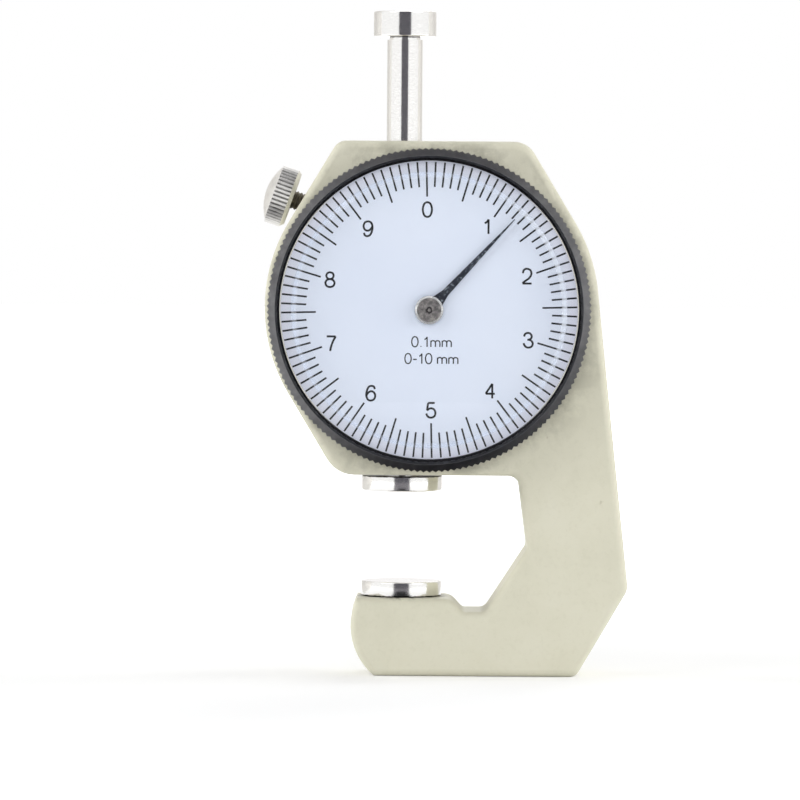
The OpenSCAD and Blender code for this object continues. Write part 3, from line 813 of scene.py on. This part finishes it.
low, high, r = span("anvil")
seat = high - CONTACT_T
anvil = add_piece("anvil_disc", turned("anvil_disc", [
    (0, high, 0), (r, high, RIM_R), (r, seat, RIM_R / 2), (ANVIL_STEM_R, seat, 0), (ANVIL_STEM_R, low, 0),
    (0, low, 0)]), ANVIL, "body")
even_normals(anvil)
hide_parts("anvil")
low, high, r = span("contact_disc")
seat = low + CONTACT_T
contact = add_piece("contact_face", turned("contact_face", [
    (0, high, 0), (CONTACT_STUD_R, high, 0), (CONTACT_STUD_R, seat, 0), (r, seat, RIM_R / 2),
    (r, low, RIM_R), (0, low, 0)]), CONTACT, "plunger")
even_normals(contact)
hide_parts("contact_disc")
low, high, r = span("plunger_cap")
cap = add_piece("press_cap", turned("press_cap", [
    (0, high, 0), (r, high, RIM_R), (r, low, RIM_R), (CAP_BORE_R, low, 0), (CAP_BORE_R, low + CAP_BORE, 0),
    (0, low + CAP_BORE, 0)]), FINISHES["steel"], "plunger")
even_normals(cap)
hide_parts("plunger_cap")


# Lock stud with its thread

STUD_R = 1.2 * MM
THREAD_DEEP = 0.2 * MM
THREAD_PITCH = 0.45 * MM
STUD_SIDES = 32
STUD_STEPS = 6


def threaded_stud():
    """The stud as a screw surface, cut into the CAD stud's cylinder."""
    along = [(v.co - SCREW_POINT).dot(SCREW_AXIS) for v in nodes["lock_stud"].data.vertices]
    low, high = min(along), max(along)
    up = Vector((0, 1, 0))
    across = up.cross(SCREW_AXIS)
    count = int((high - low) / THREAD_PITCH * STUD_STEPS)
    step = (high - low) / count
    centres = [(SCREW_POINT + SCREW_AXIS * (low + i * step), across, up) for i in range(count + 1)]

    def radius_at(i, k):
        turn = (i * step / THREAD_PITCH - k / STUD_SIDES) % 1.0
        return STUD_R - THREAD_DEEP * abs(2 * turn - 1)

    mesh = tube(centres, STUD_SIDES, radius_at, "lock_thread")
    shade(mesh, 40)
    return mesh


stud = add_piece("lock_thread", threaded_stud(), FINISHES["stud_dark"], "thumb_screw")
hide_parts("lock_stud")


# Return spring

WIRE_R = 0.175 * MM
COIL_TURNS = 8
COIL_STEPS = 20
WIRE_SIDES = 8


def coil_spring():
    """A round wire coil in the place of the CAD spring."""
    low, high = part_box("return_spring")
    coil_r = (high.x - low.x) / 2 - WIRE_R
    z0, z1 = low.z + WIRE_R, high.z - WIRE_R
    count = COIL_TURNS * COIL_STEPS
    centres = []
    for i in range(count + 1):
        a = 2 * math.pi * i / COIL_STEPS
        out = Vector((math.cos(a), math.sin(a), 0))
        centres.append((out * coil_r + Vector((0, 0, z0 + (z1 - z0) * i / count)), out, Vector((0, 0, 1))))
    mesh = tube(centres, WIRE_SIDES, lambda i, k: WIRE_R, "coil_spring")
    shade(mesh, 60)
    return mesh


spring = add_piece("coil_spring", coil_spring(), FINISHES["spring_steel"], "body")
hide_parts("return_spring")
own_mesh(spring)


# Studio

GLOW_REACH = (0.05, 0.6)
GLOW = (0.24, 0.9)


def stage_plane(name, corners, material):
    """A flat stage piece from four corners."""
    mesh = bpy.data.meshes.new(name)
    mesh.from_pydata(corners, [], [(0, 1, 2, 3)])
    mesh.materials.append(material)
    made = bpy.data.objects.new(name, mesh)
    bpy.context.scene.collection.objects.link(made)
    return made


def seen_directly(tree):
    """One for rays from the camera, also those turned by bright metal or glass."""
    path = tree.nodes.new("ShaderNodeLightPath").outputs
    return maths(tree, "MAXIMUM", path["Is Camera Ray"],
                 maths(tree, "MAXIMUM", path["Is Glossy Ray"], path["Is Transmission Ray"]))


def floor_finish():
    """Pale floor that reaches white in the camera and keeps the shadow near the object."""
    made, tree, shader, coords = new_material("floor")
    shader.inputs["Roughness"].default_value = 0.9
    shader.inputs["Specular IOR Level"].default_value = 0.0
    tree.links.new(ramp(tree, noise(tree, coords, 3), (0.3, (0.88, 0.88, 0.88)), (0.7, (0.90, 0.90, 0.90))),
                   shader.inputs["Base Color"])
    shader.inputs["Emission Color"].default_value = (1, 1, 1, 1)
    glow = between(tree, length_of(tree, coords), *GLOW_REACH, *GLOW)
    tree.links.new(maths(tree, "MULTIPLY", seen_directly(tree), glow), shader.inputs["Emission Strength"])
    return made


def card_finish(name, dark, light, glow=0.0):
    """Plain studio card, seen only in bright metal."""
    made, tree, shader, coords = new_material(name)
    tree.links.new(ramp(tree, noise(tree, coords, 4), (0.3, dark), (0.7, light)), shader.inputs["Base Color"])
    shader.inputs["Roughness"].default_value = 1.0
    shader.inputs["Specular IOR Level"].default_value = 0.0
    shader.inputs["Emission Color"].default_value = (1.0, 0.98, 0.95, 1.0)
    shader.inputs["Emission Strength"].default_value = glow
    return made


def add_card(name, corners, material):
    """A card that only reflections show: it takes no light from the object."""
    card = stage_plane(name, corners, material)
    card.visible_camera = False
    card.visible_diffuse = False
    card.visible_shadow = False
    return card


FLOOR_Z = cad_box[0].z - 0.02 * MM
FLOOR_HALF = 3.0
stage_plane("floor", [(-FLOOR_HALF, -FLOOR_HALF, FLOOR_Z), (FLOOR_HALF, -FLOOR_HALF, FLOOR_Z),
                      (FLOOR_HALF, FLOOR_HALF, FLOOR_Z), (-FLOOR_HALF, FLOOR_HALF, FLOOR_Z)], floor_finish())

# The dark band in bright metal: a card behind the camera and one on the floor before the object
BAND_SLOPE = 0.41
CARD_Y = -1.1
MAT_Y = -0.06
MAT_Z = 0.4 * MM
STRIP_Y = -0.018
STRIP_HALF = 0.02
STRIP_END = MAT_Y - 0.06
CARD_TOP = 1.2
DARK = card_finish("dark_card", (0.090, 0.087, 0.100), (0.112, 0.109, 0.122))
MAT = card_finish("dark_mat", (0.23, 0.22, 0.24), (0.27, 0.26, 0.28))
far_half, near_half = -CARD_Y * BAND_SLOPE, -MAT_Y * BAND_SLOPE
add_card("dark_card", [(-far_half, CARD_Y, 0), (-far_half, CARD_Y, CARD_TOP),
                       (far_half, CARD_Y, CARD_TOP), (far_half, CARD_Y, 0)], DARK)
add_card("dark_mat", [(-far_half, CARD_Y, MAT_Z), (far_half, CARD_Y, MAT_Z),
                      (near_half, MAT_Y, MAT_Z), (-near_half, MAT_Y, MAT_Z)], MAT)
BLACK = card_finish("black_strip", (0.025, 0.025, 0.027), (0.032, 0.032, 0.034))
add_card("black_strip", [(-STRIP_HALF, STRIP_END, 2 * MAT_Z), (STRIP_HALF, STRIP_END, 2 * MAT_Z),
                         (STRIP_HALF, STRIP_Y, 2 * MAT_Z), (-STRIP_HALF, STRIP_Y, 2 * MAT_Z)], BLACK)

# Flags beside and behind the object give bright metal its soft darker outline
FLAG_X = 0.9
FLAG_Y = 0.9
FLAG_TOP = 0.9
FLAG_GAP = 0.12
FLAG_END = 1.0
MAT_GAP_X = 0.06
MAT_GAP_Y = 0.05
SIDES = {"left": -1, "right": 1}
PALE = card_finish("pale_flag", (0.30, 0.29, 0.27), (0.36, 0.35, 0.33), 0.5)
GREY = card_finish("grey_flag", (0.30, 0.29, 0.27), (0.36, 0.35, 0.33), 0.4)
for name, side in SIDES.items():
    add_card("grey_flag_" + name,
             [(side * FLAG_GAP, FLAG_Y, 0), (side * FLAG_END, FLAG_Y, 0),
              (side * FLAG_END, FLAG_Y, FLAG_TOP), (side * FLAG_GAP, FLAG_Y, FLAG_TOP)], GREY)
    add_card("pale_flag_" + name,
             [(side * FLAG_X, FLAG_GAP, 0), (side * FLAG_X, FLAG_Y, 0),
              (side * FLAG_X, FLAG_Y, FLAG_TOP), (side * FLAG_X, FLAG_GAP, FLAG_TOP)], PALE)
    add_card("pale_mat_" + name,
             [(side * MAT_GAP_X, MAT_GAP_Y, MAT_Z), (side * FLAG_X, MAT_GAP_Y, MAT_Z),
              (side * FLAG_X, FLAG_Y, MAT_Z), (side * MAT_GAP_X, FLAG_Y, MAT_Z)], PALE)


LAMP_AIM = Vector((0, 0, 0.04))


def add_lamp(name, place, size, power):
    """A square soft lamp aimed at the object."""
    data = bpy.data.lights.new(name, "AREA")
    data.shape = "SQUARE"
    data.size = size
    data.energy = power
    lamp = bpy.data.objects.new(name, data)
    lamp.location = place
    lamp.rotation_mode = "QUATERNION"
    lamp.rotation_quaternion = (LAMP_AIM - Vector(place)).to_track_quat("-Z", "Y")
    bpy.context.scene.collection.objects.link(lamp)
    return lamp


add_lamp("key", (-0.85, -0.75, 0.95), 0.7, 2.8)
add_lamp("fill", (0.95, -0.75, 0.65), 0.8, 2.0)
add_lamp("top", (0.0, 0.1, 1.3), 0.7, 2.0)
add_lamp("rear", (0.4, 1.2, 0.7), 0.8, 5.0)
add_lamp("front", (0.0, -1.3, 0.3), 0.6, 5.0).visible_glossy = False
for name, side in SIDES.items():
    add_lamp("low_" + name, (side * 1.1, -0.5, 0.12), 0.6, 3.4).visible_glossy = False
    add_lamp("rim_" + name, (side * 1.0, 0.25, 0.25), 0.5, 5.0).visible_glossy = False

WORLD_LIGHT = 0.24
world = bpy.data.worlds.new("studio")
bpy.context.scene.world = world
world.use_nodes = True
sky = world.node_tree
sky.nodes["Background"].inputs["Color"].default_value = (1, 1, 1, 1)
sky.links.new(between(sky, seen_directly(sky), 0.0, 1.0, WORLD_LIGHT, 1.0),
              sky.nodes["Background"].inputs["Strength"])


# Camera: far away with a long lens, a little above the middle and rolled by the photo's tilt

CAMERA_AT = Vector((0.0, -750, 57.14)) * MM
CAMERA_AIM = Vector((-0.32, 0, 34.14)) * MM
LENS = 270.1
ROLL = 0.4
SENSOR_W = 36.0
CLIP_NEAR = 0.05
CLIP_FAR = 30.0

camera = bpy.data.objects.new("camera", bpy.data.cameras.new("camera"))
bpy.context.scene.collection.objects.link(camera)
camera.data.lens = LENS
camera.data.sensor_width = SENSOR_W
camera.data.clip_start = CLIP_NEAR
camera.data.clip_end = CLIP_FAR
look = (CAMERA_AIM - CAMERA_AT).to_track_quat("-Z", "Y").to_matrix().to_4x4()
camera.matrix_world = (Matrix.Translation(CAMERA_AT) @ look @ Matrix.Rotation(math.radians(ROLL), 4, "Z"))
bpy.context.scene.camera = camera
bpy.context.scene.view_settings.view_transform = "Standard"
